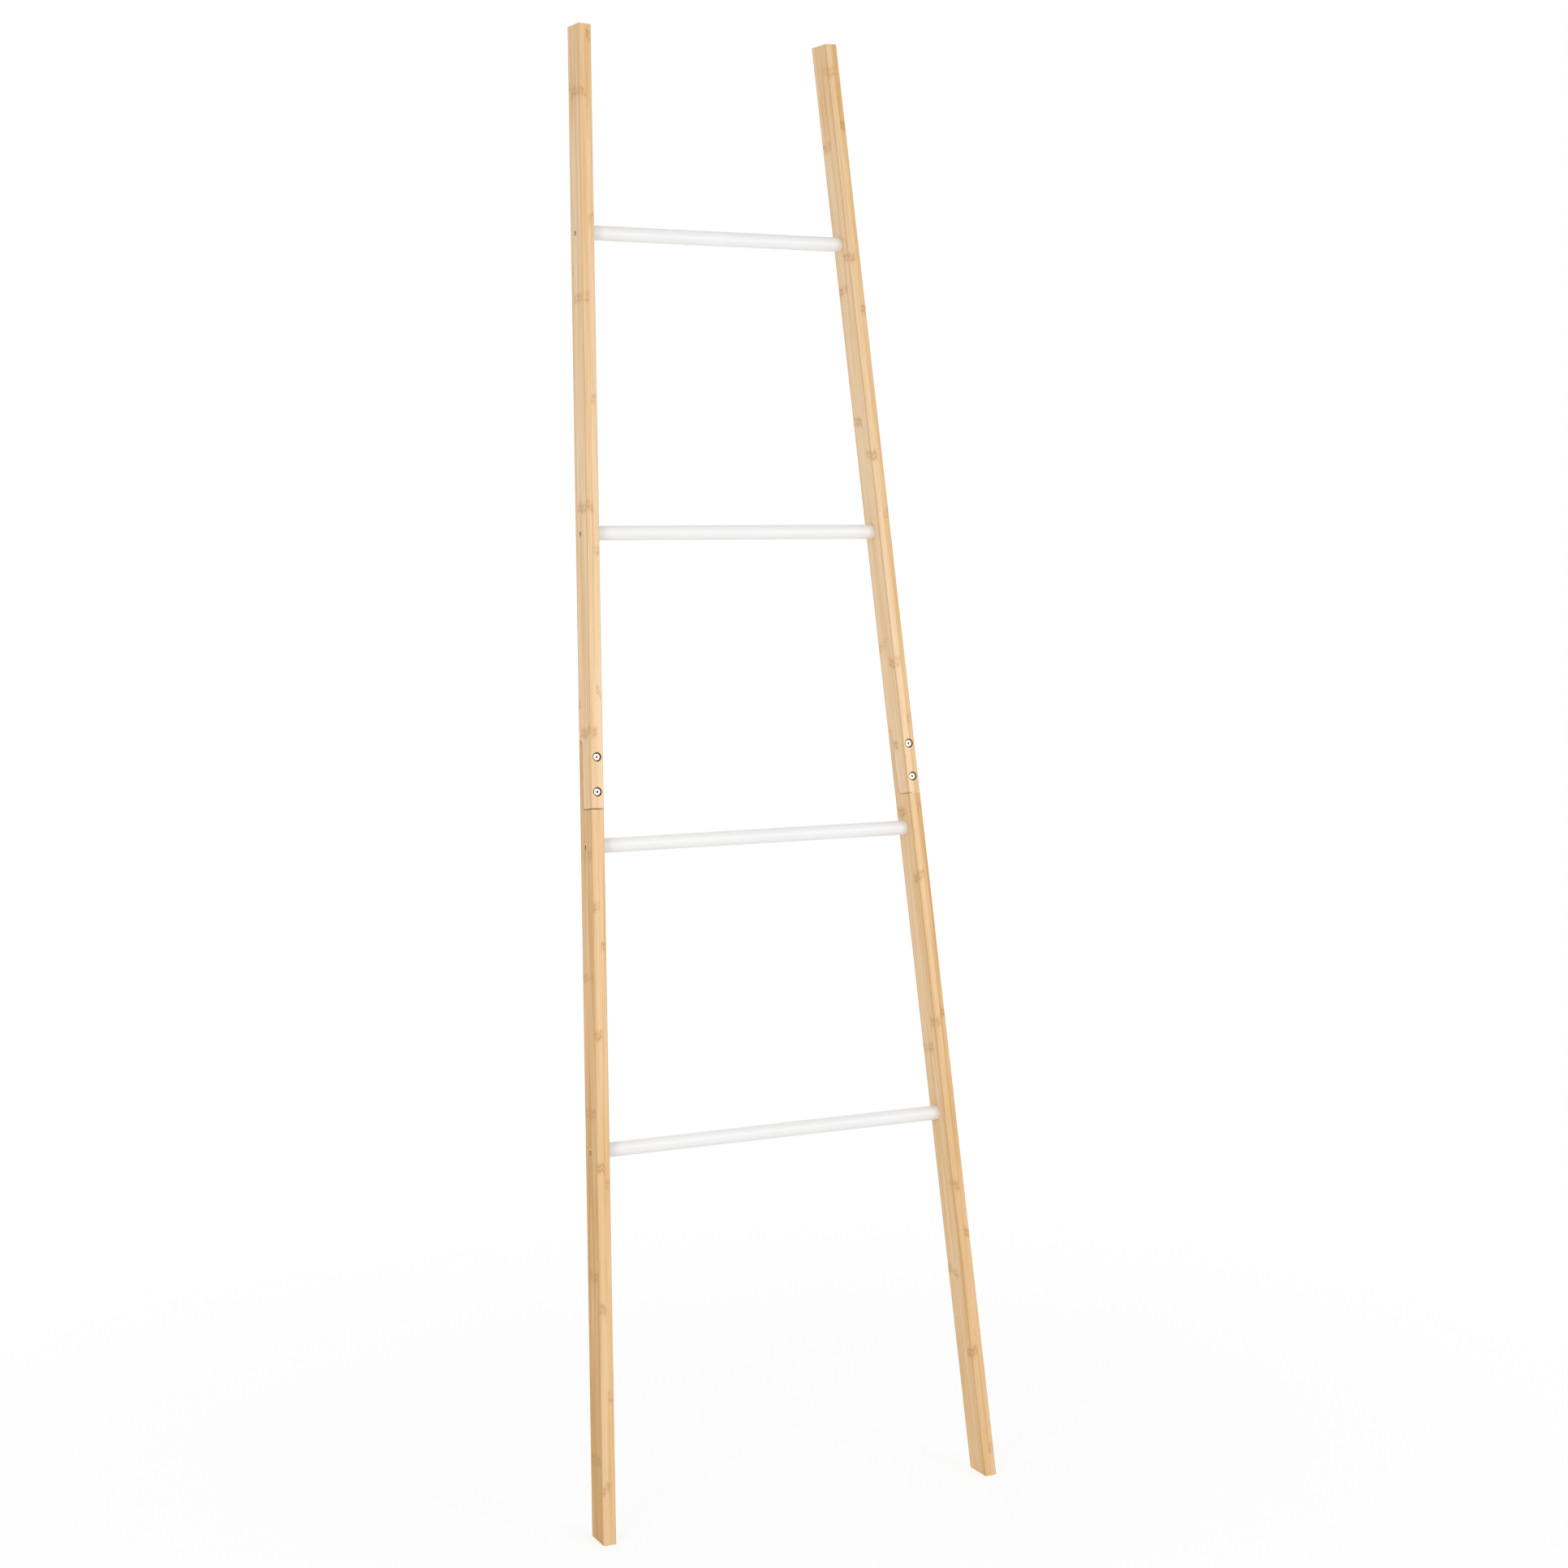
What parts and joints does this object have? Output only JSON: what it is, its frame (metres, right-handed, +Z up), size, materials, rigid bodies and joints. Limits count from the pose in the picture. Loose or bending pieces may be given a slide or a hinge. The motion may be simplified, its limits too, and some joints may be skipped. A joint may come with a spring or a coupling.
{
  "type": "towel ladder",
  "caption": "Leaning towel ladder: splayed bamboo rails, each joined by an S-shaped bolted lap, and round white rungs that towels hang over.",
  "frame": {"origin": "on the floor, in the middle of the ladder's bounding box", "axes": "+Z up, +Y back towards the wall that the top leans on, +X to the right as seen from the front"},
  "size_m": [0.5064, 0.2905, 1.7004],
  "materials": {
    "bamboo": "satin lacquer over laminated bamboo strips",
    "white_coat": "satin white powder coat",
    "bolt_zinc": "bright zinc plate",
    "screw_zinc": "yellow zinc plate"
  },
  "bodies": {
    "root": {"left_lower_rail": "bamboo", "left_upper_rail": "bamboo", "right_lower_rail": "bamboo", "right_upper_rail": "bamboo", "left_lower_bolt": "bolt_zinc", "left_lower_nut": "bolt_zinc", "left_upper_bolt": "bolt_zinc", "left_upper_nut": "bolt_zinc", "right_lower_bolt": "bolt_zinc", "right_lower_nut": "bolt_zinc", "right_upper_bolt": "bolt_zinc", "right_upper_nut": "bolt_zinc", "bottom_rung": "white_coat", "bottom_rung_left_screw": "screw_zinc", "bottom_rung_right_screw": "screw_zinc", "second_rung": "white_coat", "second_rung_left_screw": "screw_zinc", "second_rung_right_screw": "screw_zinc", "third_rung": "white_coat", "third_rung_left_screw": "screw_zinc", "third_rung_right_screw": "screw_zinc", "top_rung": "white_coat", "top_rung_left_screw": "screw_zinc", "top_rung_right_screw": "screw_zinc"}
  },
  "joints": []
}
